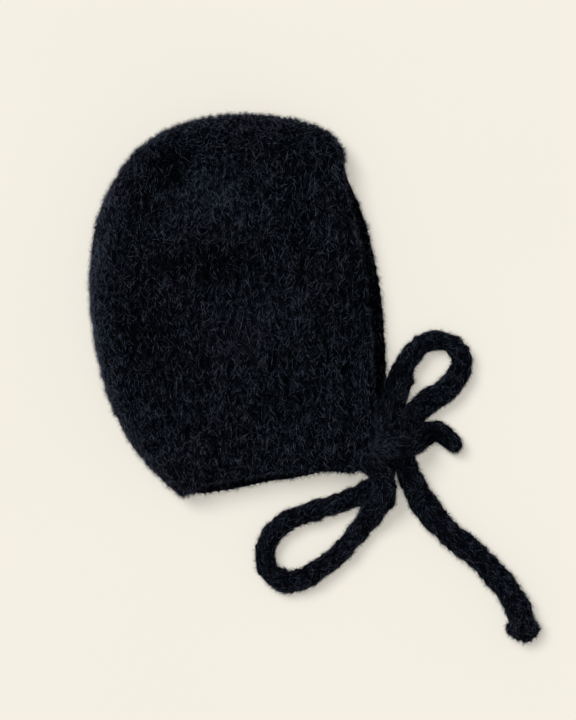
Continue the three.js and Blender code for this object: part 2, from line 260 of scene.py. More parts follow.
# Shader maths
class Wire:
    """A value in a material's node tree, which can be used in sums."""

    def __init__(self, finish, socket):
        self.finish = finish
        self.socket = socket

    def _sum(self, operation, first, second):
        return self.finish.node("ShaderNodeMath", {"operation": operation}, [first, second])

    def __add__(self, other):
        return self._sum("ADD", self, other)

    def __radd__(self, other):
        return self._sum("ADD", other, self)

    def __sub__(self, other):
        return self._sum("SUBTRACT", self, other)

    def __rsub__(self, other):
        return self._sum("SUBTRACT", other, self)

    def __mul__(self, other):
        return self._sum("MULTIPLY", self, other)

    def __rmul__(self, other):
        return self._sum("MULTIPLY", other, self)


class Finish:
    """A material with its Principled shader."""

    def __init__(self, name, **constants):
        self.material = bpy.data.materials.new(name)
        self.material.use_nodes = True
        self.tree = self.material.node_tree
        self.shader = self.tree.nodes["Principled BSDF"]
        for socket, value in constants.items():
            self.shader.inputs[socket.replace("_", " ")].default_value = value

    def node(self, kind, settings=None, inputs=None, output=0):
        """Adds a node: its settings first, then the values or links of its sockets."""
        made = self.tree.nodes.new(kind)
        for name, value in (settings or {}).items():
            setattr(made, name, value)
        given = inputs.items() if isinstance(inputs, dict) else enumerate(inputs or [])
        for key, value in given:
            if isinstance(value, Wire):
                self.tree.links.new(value.socket, made.inputs[key])
            else:
                made.inputs[key].default_value = value
        return Wire(self, made.outputs[output])

    def feed(self, socket, wire):
        self.tree.links.new(wire.socket, self.shader.inputs[socket])

    def place(self):
        return self.node("ShaderNodeTexCoord", output="Object")

    def noise(self, where, scale, detail=3.0, roughness=0.55):
        return self.node("ShaderNodeTexNoise", {"noise_dimensions": "3D"}, {
            "Vector": where, "Scale": scale, "Detail": detail, "Roughness": roughness,
        })

    def ramp(self, wire, low, high):
        """0 below low, 1 above high, smooth between."""
        return self.node("ShaderNodeMapRange", {"interpolation_type": "SMOOTHSTEP"}, {
            "Value": wire, "From Min": low, "From Max": high,
        })

    def blend(self, share, first, second):
        """A colour between two colours."""
        return self.node("ShaderNodeMix", {"data_type": "RGBA"}, {
            "Factor": share, 6: first, 7: second,
        }, output=2)


YARN_DARK = (0.0001, 0.0004, 0.0012, 1.0)
YARN_MID = (0.0036, 0.005, 0.0088, 1.0)
YARN_PALE = (0.026, 0.032, 0.046, 1.0)


def yarn_finish(name):
    """Matt brushed yarn: painted shade in the grooves, streaked along the legs of its stitches, and
    lighter or darker in places by painted light and shade.
    """
    finish = Finish(name, Roughness=0.95, Sheen_Weight=0.006, Sheen_Roughness=0.6)
    finish.shader.inputs["Specular IOR Level"].default_value = 0.004
    finish.shader.inputs["Sheen Tint"].default_value = (0.7, 0.8, 1.0, 1.0)
    where = finish.place()
    height = finish.node("ShaderNodeAttribute", {"attribute_name": "stitch"}, output="Fac")
    painted_light_shade_tone = finish.node("ShaderNodeAttribute", {"attribute_name": "painted_light_shade_tone"}, output="Fac")
    knit = finish.node("ShaderNodeUVMap", {"uv_map": "knit"})
    across = finish.node("ShaderNodeSeparateXYZ", {}, [knit], output=0)
    along = finish.node("ShaderNodeSeparateXYZ", {}, [knit], output=1)
    part = finish.node("ShaderNodeMath", {"operation": "FRACT"}, [across])
    half = finish.node("ShaderNodeMath", {"operation": "ABSOLUTE"}, [part - 0.5]) * 2
    leg = finish.node("ShaderNodeMath", {"operation": "FLOOR"}, [across * 2])
    strand = finish.node("ShaderNodeCombineXYZ", {}, [
        (along - half * STITCH_SLANT) * 9.0, half * 1.7 + along * 0.3, leg * 2.37,
    ])
    streak = finish.noise(strand, 1.0, 2.0, 0.6)
    clouds = finish.noise(where, 60.0, 2.0)
    flecks = finish.noise(where, 1500.0, 2.0, 0.6)
    # Darker over the knit's grooves: painted shade. The streaks, flecks and clouds are the yarn's
    # own tone.
    body = finish.ramp(height * 0.75 + streak * 0.9 + flecks * 0.6 + clouds * 0.3, 0.85, 1.85)
    # Lighter or darker by the patches: painted light and shade.
    body = body * painted_light_shade_tone
    # Pale streaks of fibre along the legs. They take on the painted shade and light above.
    pale_streaks = finish.ramp(streak + flecks * 0.35, 0.72, 0.95) * body
    colour = finish.blend(pale_streaks, finish.blend(body, YARN_DARK, YARN_MID), YARN_PALE)
    finish.feed("Base Color", colour)
    relief = streak * 1.1 + flecks * 0.6
    finish.feed("Normal", finish.node("ShaderNodeBump", {}, {
        "Strength": 0.8, "Distance": 0.0008, "Height": relief,
    }))
    return finish.material


FIBRE_BLACK = (0.0003, 0.0005, 0.001, 1.0)
FIBRE_VIOLET = (0.165, 0.165, 0.24, 1.0)
FIBRE_TEAL = (0.136, 0.178, 0.245, 1.0)


def fibre_finish():
    """Loose fibres and strands of the nap, from black to a dull grey-blue."""
    finish = Finish("loose_fibre", Roughness=0.9)
    finish.shader.inputs["Specular IOR Level"].default_value = 0.01
    tone = finish.node("ShaderNodeAttribute", {"attribute_name": "tone"}, output="Fac")
    where = finish.place()
    cast = finish.noise(where, 420.0, 0.0) * 0.6 + finish.noise(where, 30.0, 0.0) * 0.4
    pale = finish.blend(finish.ramp(cast, 0.38, 0.62), FIBRE_VIOLET, FIBRE_TEAL)
    finish.feed("Base Color", finish.blend(tone, FIBRE_BLACK, pale))
    return finish.material


FLOOR_GLOW = 0.49
FLOOR_SHARE = 0.72
FLOOR_CREAM = (0.908, 0.866, 0.772, 1.0)
FLOOR_PALER = (0.914, 0.872, 0.778, 1.0)
BLACK = (0.0, 0.0, 0.0, 1.0)


def floor_finish():
    """A pale, slightly glowing studio floor, which keeps the shadows on it light."""
    finish = Finish("pale_floor", Roughness=0.95, Emission_Strength=FLOOR_GLOW)
    finish.shader.inputs["Specular IOR Level"].default_value = 0.0
    where = finish.place()
    tint = finish.ramp(finish.noise(where, 6.0, 1.0), 0.3, 0.7)
    colour = finish.blend(tint, FLOOR_CREAM, FLOOR_PALER)
    finish.feed("Base Color", finish.blend(FLOOR_SHARE, BLACK, colour))
    finish.feed("Emission Color", colour)
    return finish.material


# Meshes
def new_object(name, mesh, material):
    mesh.materials.clear()
    mesh.materials.append(material)
    piece = bpy.data.objects.new(name, mesh)
    bpy.context.scene.collection.objects.link(piece)
    return piece


def write_mesh(bm, name):
    mesh = bpy.data.meshes.new(name)
    bm.to_mesh(mesh)
    bm.free()
    mesh.shade_smooth()
    return mesh


def coordinates(mesh):
    values = np.empty(len(mesh.vertices) * 3)
    mesh.vertices.foreach_get("co", values)
    return values.reshape(-1, 3)


def normals(mesh):
    values = np.empty(len(mesh.vertices) * 3, dtype=np.float32)
    mesh.vertex_normals.foreach_get("vector", values)
    return values.reshape(-1, 3).astype(float)


def move_vertices(mesh, places):
    mesh.vertices.foreach_set("co", places.astype(np.float32).ravel())
    mesh.update()


def point_attribute(mesh, name, values):
    attribute = mesh.attributes.new(name, "FLOAT", "POINT")
    attribute.data.foreach_set("value", values.astype(np.float32))


# A node's solid, merged and made fine enough to carry the knit
SAME_PLACE = 2e-6
LOOK_START = 0.0004
LOOK_REACH = 0.06
UNDERSIDE = -0.35


def merged_copy(node):
    bm = bmesh.new()
    bm.from_mesh(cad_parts[node].data)
    bmesh.ops.remove_doubles(bm, verts=bm.verts, dist=SAME_PLACE)
    return bm


def refine(bm, faces):
    """Cuts every edge of these faces in two."""
    edges = list({edge for face in faces for edge in face.edges})
    bmesh.ops.subdivide_edges(bm, edges=edges, cuts=1, use_grid_fill=True)


def relax(bm, rounds):
    for _ in range(rounds):
        bmesh.ops.smooth_vert(
            bm, verts=bm.verts, factor=0.5, use_axis_x=True, use_axis_y=True, use_axis_z=True,
        )


def outer_faces(bm):
    """The faces that look out of the hollow: nothing of the piece lies in front of them."""
    bm.normal_update()
    tree = BVHTree.FromBMesh(bm)
    faces = []
    for face in bm.faces:
        start = face.calc_center_median() + face.normal * LOOK_START
        if tree.ray_cast(start, face.normal, LOOK_REACH)[0] is None:
            faces.append(face)
    return faces


def fold_outline(points):
    """The fold round the back and the crown in plan, from the top of the face edge to the neck."""
    flat = [Vector(point[:2]) for point in points]
    hull = np.array([flat[i][:] for i in convex_hull_2d(flat)])
    angle = np.degrees(np.arctan2(hull[:, 1], hull[:, 0])) % 360
    first = angle[np.argmax(hull[:, 0] + hull[:, 1])]
    last = angle[np.argmin(hull[:, 1])]
    kept = (angle >= first) & (angle <= last)
    outline = hull[kept][np.argsort(angle[kept])]
    steps = np.linalg.norm(np.diff(outline, axis=0), axis=1)
    return outline[np.concatenate([[True], steps > 1e-6])]


def knit_places(points, outline):
    """Where each point lies in the knit, in stitches across and rows along.

    Near the fold the fabric turns down, so its own length is counted there, not its plan."""
    plan = points[:, :2]
    nearest = np.full(len(plan), np.inf)
    inward = np.zeros_like(plan)
    for start, end in zip(outline[:-1], outline[1:]):
        run = end - start
        share = np.clip(((plan - start) @ run) / (run @ run), 0, 1)
        away = np.linalg.norm(plan - (start + share[:, None] * run), axis=1)
        closer = away < nearest
        nearest[closer] = away[closer]
        inward[closer] = np.array([-run[1], run[0]]) / np.linalg.norm(run)
    reach = FOLD_REACH * MM
    share = np.clip(1 - nearest / reach, 0, 1)
    quarter = reach * (math.pi / 2 - 1)
    arc = np.where(nearest < reach, reach * np.arccos(share), nearest + quarter)
    hidden = quarter - (arc - nearest)
    lying = plan - inward * hidden[:, None]
    back = outline[outline[:, 0] < np.median(outline[:, 0])]
    back = back[np.argsort(back[:, 1])]
    face_x = outline[:, 0].min() + FACE_WALE
    middle_width = face_x - back[:, 0].min()
    width = (face_x - np.interp(lying[:, 1], back[:, 1], back[:, 0])) / middle_width
    width = np.clip(width, NARROWEST_WALE, 1)
    width = np.where(lying[:, 1] > STRAIGHT_WALES, 1.0, width)
    across = (face_x - lying[:, 0]) / (STITCH_WIDTH * MM * width)
    along = lying[:, 1] / (ROW_LENGTH * MM)
    return across, along


# Painted light and shade on the nap: lighter on the lit swells, left rim and knot, darker in the
# shaded dents, along the face edge and on the short tail beside the knot. x and y from the shell's
# middle, reach, and how much lighter or darker it is painted there
PAINTED_LIGHT_PATCHES = [
    (-13, 43, 15, 1.5),
    (8, 46, 16, 0.5),
    (-31, 60, 11, -0.8),
    (-45, 44, 10, -0.5),
    (18, 65, 13, -0.35),
    (10, 78, 18, 0.3),
    (-48, 60, 9, 0.4),
    (-13, 22, 13, -0.7),
    (6, 30, 11, -0.4),
    (-62, 22, 9, 1.4),
    (-63, 4, 8, 1.1),
    (-62, -14, 9, 1.3),
    (-57, 42, 8, 0.9),
    (-55, -34, 8, 0.8),
    (66, -63, 5, 0.8),
    (84, -59, 8, -0.9),
    (91, -56, 6, -0.5),
    (-44, -14, 14, -0.5),
    (10, -10, 16, 0.8),
    (-30, -52, 18, 0.3),
    (52, 5, 9, -0.4),
    (55, 41, 7, -0.6),
    (60, 27, 7, -0.6),
    (63, 12, 7, -0.6),
    (65, -3, 7, -0.6),
    (66, -18, 7, -0.6),
    (66, -33, 7, -0.6),
    (66, -46, 6, -0.4),
    (30, -50, 16, 0.2),
    (-25, -25, 13, -0.25),
]

# Swells and dents of the seen side: x, y, reach along and across, the turn of the long way in
# degrees, and the rise
SWELLS = [
    (-14, 41, 20, 13, 35, 2.2),
    (-36, 54, 20, 7, 45, -1.8),
    (0, 24, 22, 8, 25, -1.8),
    (12, -8, 22, 16, 80, 1.2),
    (-46, -12, 18, 8, 85, -1.2),
]

# The rolled corner at the top of the face edge
TOP_CORNER = (45.5, 69.5, 10.0)
TOP_CORNER_REACH = 8.0
TOP_CORNER_SWELL = 2.0

# How dark the ties look beside the hood, and how far the patches' painted shade and light can
# darken or lighten the nap
TIE_SHADE = 0.72
DARKEST_PAINTED_SHADE = 0.15
PALEST_PAINTED_LIGHT = 3


def painted_nap_light_and_tone(places):
    """How pale the nap is at these places: the painted light and shade of the patches, and a soft
    unevenness of tone.
    """
    total = np.ones(len(places))
    for x, y, reach, amount in PAINTED_LIGHT_PATCHES:
        away = ((places[:, 0] / MM - x) ** 2 + (places[:, 1] / MM - y) ** 2) / reach ** 2
        total += amount * np.exp(-away)
    return np.clip(total, DARKEST_PAINTED_SHADE, PALEST_PAINTED_LIGHT) * (1 + 0.2 * smooth_noise(places, 0.014, 71))


def tie_tone(places):
    """The ties look darker than the hood, and carry the patches' painted light and shade."""
    return TIE_SHADE * painted_nap_light_and_tone(places)


def shape_swells(mesh):
    """The soft unevenness that the wall takes on as it lies."""
    places = coordinates(mesh)
    facing = normals(mesh)
    upper = np.clip(facing[:, 2] * 2, 0, 1) * np.clip(places[:, 2] / MM / 12, 0, 1)
    for x, y, along, across, turn, rise in SWELLS:
        dx, dy = places[:, 0] / MM - x, places[:, 1] / MM - y
        cos, sin = math.cos(math.radians(turn)), math.sin(math.radians(turn))
        away = ((dx * cos + dy * sin) / along) ** 2 + ((dy * cos - dx * sin) / across) ** 2
        places[:, 2] += rise * MM * np.exp(-away) * upper
    away = np.linalg.norm(places / MM - TOP_CORNER, axis=1) / TOP_CORNER_REACH
    places += facing * (TOP_CORNER_SWELL * MM * np.exp(-away ** 2))[:, None]
    move_vertices(mesh, places)


def unevenness(places, seed):
    """How far each stitch is pushed out of its row, in rows."""
    return 0.16 * smooth_noise(places, 0.011, seed)


def dress_knit(mesh, across, along, depth, seed=3):
    """Raises the stitches from the surface, with the loose unevenness of brushed yarn."""
    places = coordinates(mesh)
    facing = normals(mesh)
    wobble = unevenness(places, seed)
    across = across + wobble
    along = along + 0.8 * wobble
    height = stitch_height(across, along)
    open_knit = 0.5 + 0.5 * np.clip(smooth_noise(places, 0.05, seed + 1) + 0.35, -1, 1)
    rough = smooth_noise(places, 0.0026, seed + 2) * 0.14
    rough = rough + smooth_noise(places, 0.0065, seed + 4) * 0.14
    rise = (height - 0.75) * (0.5 + 0.5 * open_knit) + rough
    near_floor = np.clip(places[:, 2] / (4 * MM), 0.3, 1)
    moved = places + facing * (rise * near_floor * depth * MM)[:, None]
    moved[:, 2] = np.maximum(moved[:, 2], LOWEST_SURFACE)
    move_vertices(mesh, moved)
    # The knit's height, by which the finish and the nap paint shade into the grooves, and the
    # patches' painted light and shade.
    point_attribute(mesh, "stitch", np.clip(height + rough, 0, 1))
    point_attribute(mesh, "painted_light_shade_tone", painted_nap_light_and_tone(places))
    knit = mesh.uv_layers.new(name="knit")
    corner = np.empty(len(mesh.loops), dtype=np.int32)
    mesh.loops.foreach_get("vertex_index", corner)
    where = np.stack([across, along], axis=1)[corner]
    knit.data.foreach_set("uv", where.astype(np.float32).ravel())


def make_shell(material):
    bm = merged_copy("bonnet_shell")
    bmesh.ops.join_triangles(
        bm, faces=bm.faces,
        angle_face_threshold=math.radians(40), angle_shape_threshold=math.radians(60),
    )
    refine(bm, bm.faces[:])
    relax(bm, 3)
    refine(bm, outer_faces(bm))
    bm.normal_update()
    refine(bm, [face for face in outer_faces(bm) if face.normal.z > UNDERSIDE])
    relax(bm, 2)
    bmesh.ops.triangulate(bm, faces=[face for face in bm.faces if len(face.verts) > 4])
    mesh = write_mesh(bm, "brushed_shell")
    piece = new_object("brushed_shell", mesh, material)
    shape_swells(mesh)
    across, along = knit_places(coordinates(mesh), shell_outline)
    dress_knit(mesh, across, along, STITCH_DEPTH)
    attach(piece, "root")
    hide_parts("bonnet_shell")
    return piece


# Cords
CORD_STEP = 0.55
CORD_SIDES = 36
ROUND_END = CORD_DIAMETER / 2 * 0.9
SMALLEST_END = 0.03
END_STITCH_WIDTH = 5.2
END_STITCH_DEPTH = 0.9

# How near to the floor a surface or a fibre comes, in metres
LOWEST_SURFACE = 0.0003
LOWEST_FIBRE = 0.0002


def wrapped_tube(name, path, radius_of, material, seed):
    """A knitted cord: a grid rolled round its path, closed at both ends."""
    rings = len(path)
    bm = bmesh.new()
    bmesh.ops.create_grid(bm, x_segments=CORD_SIDES, y_segments=rings - 1, size=0.5)
    bm.verts.ensure_lookup_table()
    grid = np.array([vert.co[:] for vert in bm.verts])
    turn = np.round((grid[:, 0] + 0.5) * CORD_SIDES).astype(int)
    ring = np.round((grid[:, 1] + 0.5) * (rings - 1)).astype(int)

    tangent = np.gradient(path, axis=0)
    tangent /= np.linalg.norm(tangent, axis=1)[:, None]
    side = np.cross(tangent[0], [0, 0, 1.0])
    sides = []
    for direction in tangent:
        side = side - direction * (side @ direction)
        side = side / np.linalg.norm(side)
        sides.append(side)
    sides = np.array(sides)
    over = np.cross(sides, tangent)

    angle = 2 * math.pi * turn / CORD_SIDES
    around = sides[ring] * np.cos(angle)[:, None] + over[ring] * np.sin(angle)[:, None]
    places = path[ring] + around * radius_of(ring)[:, None]
    wobble = 0.14 * smooth_noise(places, 0.008, seed)
    across = turn / CORD_SIDES * CORD_WALES + wobble
    along = ring * CORD_STEP / ROW_LENGTH + wobble
    height = stitch_height(across, along)
    rough = smooth_noise(places, 0.0024, seed + 1) * 0.25
    rough = rough + smooth_noise(places, 0.006, seed + 2) * 0.45
    rise = ((height - 0.7) + rough) * CORD_STITCH_DEPTH * MM
    rise *= np.clip(np.minimum(ring, rings - 1 - ring) / 4, 0, 1)
    places = places + around * rise[:, None]
    places[:, 2] = np.maximum(places[:, 2], LOWEST_SURFACE)

    stitch = bm.verts.layers.float.new("stitch")
    painted_light_shade_tone = bm.verts.layers.float.new("painted_light_shade_tone")
    # The knit's height, by which the finish and the nap paint shade into the cord's grooves.
    shown = np.clip(0.3 + 0.7 * height + 0.35 * rough, 0, 1)
    for vert, place, value in zip(bm.verts, places, shown):
        vert.co = place
        vert[stitch] = value
        vert[painted_light_shade_tone] = 1.0
    knit = bm.loops.layers.uv.new("knit")
    for face in bm.faces:
        for loop in face.loops:
            i = loop.vert.index
            loop[knit].uv = (across[i], along[i])
    bmesh.ops.remove_doubles(bm, verts=bm.verts, dist=1e-7)
    bmesh.ops.holes_fill(bm, edges=[edge for edge in bm.edges if edge.is_boundary], sides=0)
    bmesh.ops.poke(bm, faces=[face for face in bm.faces if len(face.verts) > 4])
    bmesh.ops.recalc_face_normals(bm, faces=bm.faces)
    piece = new_object(name, write_mesh(bm, name), material)
    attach(piece, "root")
    return piece


def cord_radius(path, seed, swells, round_end=False):
    """The cord's radius at each ring: uneven, fuller over its swells, and drawn in to a round end
    where it is free."""
    count = len(path)
    uneven = 1 + 0.05 * smooth_noise(path, 0.03, seed)
    uneven = uneven + 0.06 * smooth_noise(path, 0.01, seed + 5)
    radius = CORD_DIAMETER / 2 * MM * uneven
    distance = np.arange(count) * CORD_STEP
    for middle, reach, amount in swells:
        radius = radius * (1 + amount * np.exp(-((distance - middle) / reach) ** 2))
    if round_end:
        share = np.clip(1 - distance[::-1] / ROUND_END, 0, 1)
        radius = radius * np.sqrt(np.maximum(1 - share ** 2, SMALLEST_END))
    return lambda ring: radius[ring]


def make_end_knot(material):
    bm = merged_copy("end_knot")
    refine(bm, bm.faces[:])
    relax(bm, 3)
    refine(bm, bm.faces[:])
    mesh = write_mesh(bm, "tail_knot")
    piece = new_object("tail_knot", mesh, material)
    places = coordinates(mesh)
    across, along = places[:, 0] / (END_STITCH_WIDTH * MM), places[:, 1] / (ROW_LENGTH * MM)
    dress_knit(mesh, across, along, END_STITCH_DEPTH, seed=31)
    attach(piece, "root")
    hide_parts("end_knot")
    return piece


# Loose fibres
def scatter(piece, count, random, weight=None):
    """Roots spread over a piece by area: their places, the facing there and the knit's height."""
    mesh = piece.data
    mesh.calc_loop_triangles()
    corners = np.empty(len(mesh.loop_triangles) * 3, dtype=np.int32)
    mesh.loop_triangles.foreach_get("vertices", corners)
    corners = corners.reshape(-1, 3)
    places = coordinates(mesh)
    facing = normals(mesh)
    stitch = np.empty(len(mesh.vertices), dtype=np.float32)
    mesh.attributes["stitch"].data.foreach_get("value", stitch)
    a, b, c = (places[corners[:, k]] for k in range(3))
    area = np.linalg.norm(np.cross(b - a, c - a), axis=1)
    area = area * (0.35 + 0.65 * stitch[corners].mean(axis=1))
    if weight is not None:
        area = area * weight((a + b + c) / 3, facing[corners].mean(axis=1))
    chosen = random.choice(len(area), size=count, p=area / area.sum())
    u, v = random.random(count), random.random(count)
    flip = u + v > 1
    u[flip], v[flip] = 1 - u[flip], 1 - v[flip]
    share = np.stack([1 - u - v, u, v], axis=1)
    roots = (places[corners[chosen]] * share[:, :, None]).sum(axis=1)
    out = (facing[corners[chosen]] * share[:, :, None]).sum(axis=1)
    height = (stitch[corners[chosen]] * share).sum(axis=1)
    return roots, unit(out), height


FIBRE_SIDES = 3
FIBRE_FACES = np.array([
    (0, 1, 4), (0, 4, 3), (1, 2, 5), (1, 5, 4), (2, 0, 3), (2, 3, 5),
    (3, 4, 6), (4, 5, 6), (5, 3, 6), (0, 2, 1),
])
STRAND_FACES = np.array([(0, 1, 3), (1, 2, 3), (2, 0, 3), (0, 2, 1)])

# How pale strands and fibres are in common, and how far single ones and small locks stray from it
STRAND_TONE = 0.215
STRAND_SPREAD = 1.4
LOCK_SIZE = 0.0012
LOCK_SPREAD = 1.9
FIBRE_TONE = 0.4
FIBRE_SPREAD = 0.95

# How high above the knit the strands start, in millimetres, and how much of a fibre's way is the
# way that the nap lies
NAP_LIFT = 0.12
FIBRE_LAY = 1.3


def joined(name, points, faces, tone, material):
    """One mesh from many small closed shapes that share their faces' pattern."""
    count, each = points.shape[:2]
    points[:, :, 2] = np.maximum(points[:, :, 2], LOWEST_FIBRE)
    faces = (faces[None] + each * np.arange(count)[:, None, None]).reshape(-1, 3)
    mesh = bpy.data.meshes.new(name)
    mesh.vertices.add(count * each)
    mesh.vertices.foreach_set("co", points.astype(np.float32).ravel())
    mesh.loops.add(len(faces) * 3)
    mesh.loops.foreach_set("vertex_index", faces.astype(np.int32).ravel())
    mesh.polygons.add(len(faces))
    mesh.polygons.foreach_set("loop_start", np.arange(0, len(faces) * 3, 3, dtype=np.int32))
    mesh.update(calc_edges=True)
    mesh.shade_smooth()
    point_attribute(mesh, "tone", np.repeat(tone, each))
    piece = new_object(name, mesh, material)
    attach(piece, "root")
    return piece


def unit(vectors):
    return vectors / np.linalg.norm(vectors, axis=1)[:, None]


def across_surface(directions, out):
    """The directions laid flat on the surface."""
    return unit(directions - out * (directions * out).sum(axis=1)[:, None])


def ring_round(centre, first, second, size):
    """Three points round a centre, for one ring of a fibre."""
    turns = [2 * math.pi * k / FIBRE_SIDES for k in range(FIBRE_SIDES)]
    return [centre + (first * math.cos(turn) + second * math.sin(turn)) * size for turn in turns]


def strands(
    name, source, count, material, seed, slot, lay, weight=None, tone=None, thick=(0.04, 0.11),
):
    """The nap: short strands that lie along the legs of the stitches, and cover the knit."""
    random = np.random.default_rng(seed)
    roots, out, height = scatter(source, count, random, weight)
    stray = 0.3 + 1.2 * random.random(count) ** 2
    way = unit(lay(roots, random)) + unit(random.normal(size=(count, 3))) * stray[:, None]
    flat = across_surface(way, out)
    third = np.cross(out, flat)
    long = random.uniform(1.6, 4.2, count)[:, None] * MM
    lift = (0.1 + 0.3 * random.random(count) ** 1.5)[:, None]
    roots = roots + out * NAP_LIFT * MM
    wide = random.uniform(thick[0], thick[1], count)[:, None] * MM
    tip = roots + unit(flat + out * lift) * long
    points = np.stack(ring_round(roots, out, third, wide) + [tip], axis=1)
    middle = (roots + tip) / 2
    spread = STRAND_SPREAD * random.normal(size=count)
    spread = spread + LOCK_SPREAD * smooth_noise(middle, LOCK_SIZE, seed)
    # Darker where the roots lie in the knit's grooves: painted shade.
    shade = STRAND_TONE * np.exp(spread) * (0.06 + 1.3 * height ** 2)
    if tone is not None:
        shade = shade * tone(roots)
    return joined(name, points, STRAND_FACES, np.clip(shade, 0, 1), material)


def loose_fibres(
    name, source, count, material, seed, slot, weight=None, tone=None,
    length=(2.4, 7.0), rise=(0.08, 0.9), thick=(0.022, 0.05), bends=0.6, lay=None,
):
    """Fine bent fibres that stand off the nap and make its soft outline."""
    random = np.random.default_rng(seed)
    roots, out, height = scatter(source, count, random, weight)
    way = unit(random.normal(size=(count, 3)))
    if lay is not None:
        way = way + FIBRE_LAY * lay(roots, random)
    flat = across_surface(way, out)
    third = np.cross(out, flat)
    long = (length[0] + (length[1] - length[0]) * random.random(count) ** 1.8)[:, None] * MM
    lift = (rise[0] + (rise[1] - rise[0]) * random.random(count) ** 1.6)[:, None]
    bend = random.normal(0, bends, size=(count, 1))
    first = unit(flat + out * lift * 1.3)
    second = unit(flat + third * bend + out * (lift * 0.6 - 0.06))
    start = roots - out * 0.25 * MM
    middle = start + first * long * 0.5
    tip = middle + second * long * 0.5
    wide = random.uniform(thick[0], thick[1], count)[:, None] * MM
    rings = ring_round(start, out, third, wide) + ring_round(middle, out, third, wide * 0.8)
    points = np.stack(rings + [tip], axis=1)
    # Darker where the roots lie in the knit's grooves: painted shade.
    shade = FIBRE_TONE * np.exp(FIBRE_SPREAD * random.normal(size=count)) * (0.2 + 1.2 * height)
    if tone is not None:
        shade = shade * tone(roots)
    return joined(name, points, FIBRE_FACES, np.clip(shade, 0, 1), material)


def fuzz(name, source, count, material, seed, weight=None, tone=None):
    """The shortest, finest fibres, which stand off the sides and blur the outline."""
    random = np.random.default_rng(seed)
    roots, out, _ = scatter(source, count, random, weight)
    way = unit(out + 0.75 * unit(random.normal(size=(count, 3))) * [1, 1, 0.5])
    third = across_surface(random.normal(size=(count, 3)), way)
    long = random.uniform(1.2, 3.4, count)[:, None] * MM
    wide = random.uniform(0.03, 0.06, count)[:, None] * MM
    start = roots - out * 0.2 * MM
    tip = start + way * long
    points = np.stack(ring_round(start, np.cross(way, third), third, wide) + [tip], axis=1)
    shade = random.uniform(0.14, 0.64, count)
    if tone is not None:
        shade = np.clip(shade * tone(roots), 0, 1)
    return joined(name, points, STRAND_FACES, shade, material)


HAIR_RINGS = 8


def stray_hairs(name, source, count, material, seed, weight):
    """Single pale hairs that curl over the surface."""
    random = np.random.default_rng(seed)
    roots, out, _ = scatter(source, count, random, weight)
    way = across_surface(random.normal(size=(count, 3)), out)
    third = np.cross(out, way)
    long = random.uniform(6, 13, count)[:, None] * MM
    curl = random.normal(0, 2.6, count)[:, None]
    wide = random.uniform(0.03, 0.05, count)[:, None] * MM
    centre = roots + out * 0.1 * MM
    rings = []
    for ring in range(HAIR_RINGS):
        share = ring / (HAIR_RINGS - 1)
        rings += ring_round(centre, out, third, wide * (1 - 0.6 * share))
        heading = way * np.cos(curl * share) + third * np.sin(curl * share)
        centre = centre + unit(heading + out * (0.45 - 0.75 * share)) * long / HAIR_RINGS
    faces = [(0, 2, 1)]
    for ring in range(HAIR_RINGS - 1):
        for k in range(FIBRE_SIDES):
            a, b = ring * FIBRE_SIDES + k, ring * FIBRE_SIDES + (k + 1) % FIBRE_SIDES
            faces += [(a, b, b + FIBRE_SIDES), (a, b + FIBRE_SIDES, a + FIBRE_SIDES)]
    last = (HAIR_RINGS - 1) * FIBRE_SIDES
    faces.append((last, last + 1, last + 2))
    shade = random.uniform(0.35, 1.0, count)
    return joined(name, np.stack(rings, axis=1), np.array(faces), shade, material)


# Above this height the crown is felted, in metres: over the band it comes in, up to the most
FELT_START = 0.058
FELT_BAND = 0.014
FELT_MOST = 0.9

# How far the strands lean out of their stitch column, in degrees, and the spread of that
SHELL_LEAN = (26, 9)
CORD_LEAN = (28, 10)


def along_legs(roots, random):
    """The way a stitch's leg runs at places on the shell, with the felted crown lying any way."""
    step = 0.0005
    across = knit_places(roots, shell_outline)[0]
    beside = knit_places(roots + [step, 0, 0], shell_outline)[0] - across
    above = knit_places(roots + [0, step, 0], shell_outline)[0] - across
    wale = unit(np.stack([above, -beside, np.zeros(len(roots))], axis=1))
    right = np.stack([wale[:, 1], -wale[:, 0], wale[:, 2]], axis=1)
    side = np.where((across + unevenness(roots, 3)) % 1.0 > 0.5, -1.0, 1.0)
    lean = np.radians(random.normal(*SHELL_LEAN, len(roots))) * side
    way = wale * np.cos(lean)[:, None] + right * np.sin(lean)[:, None]
    felted = np.clip((roots[:, 1] - FELT_START) / FELT_BAND, 0, 1)[:, None] * FELT_MOST
    way = way * np.where(random.random(len(roots)) > 0.5, 1.0, -1.0)[:, None]
    return unit(way * (1 - felted) + unit(random.normal(size=way.shape)) * felted)


def along_path(path):
    """The way a stitch's leg runs at places on a cord."""
    tangent = np.gradient(path, axis=0)

    def lay(roots, random):
        nearest = np.array([np.argmin(((path - root) ** 2).sum(axis=1)) for root in roots])
        way = unit(tangent[nearest])
        aside = unit(np.cross(way, roots - path[nearest]))
        side = random.choice([-1.0, 1.0], len(roots))
        lean = np.radians(side * random.normal(*CORD_LEAN, len(roots)))
        return way * np.cos(lean)[:, None] + aside * np.sin(lean)[:, None]

    return lay


def any_way(roots, random):
    return unit(random.normal(size=roots.shape))


# Floor and light
FLOOR_SIZE = 3.0
ROOM_LIGHT = 0.24
WINDOW_LIGHT = 1.80
WINDOW_WIDTH = 30
TOWARD_WINDOW = (-0.52, 0.46, 1.0)


def add_floor():
    bm = bmesh.new()
    bmesh.ops.create_grid(bm, x_segments=1, y_segments=1, size=FLOOR_SIZE)
    floor = new_object("floor", write_mesh(bm, "floor"), floor_finish())


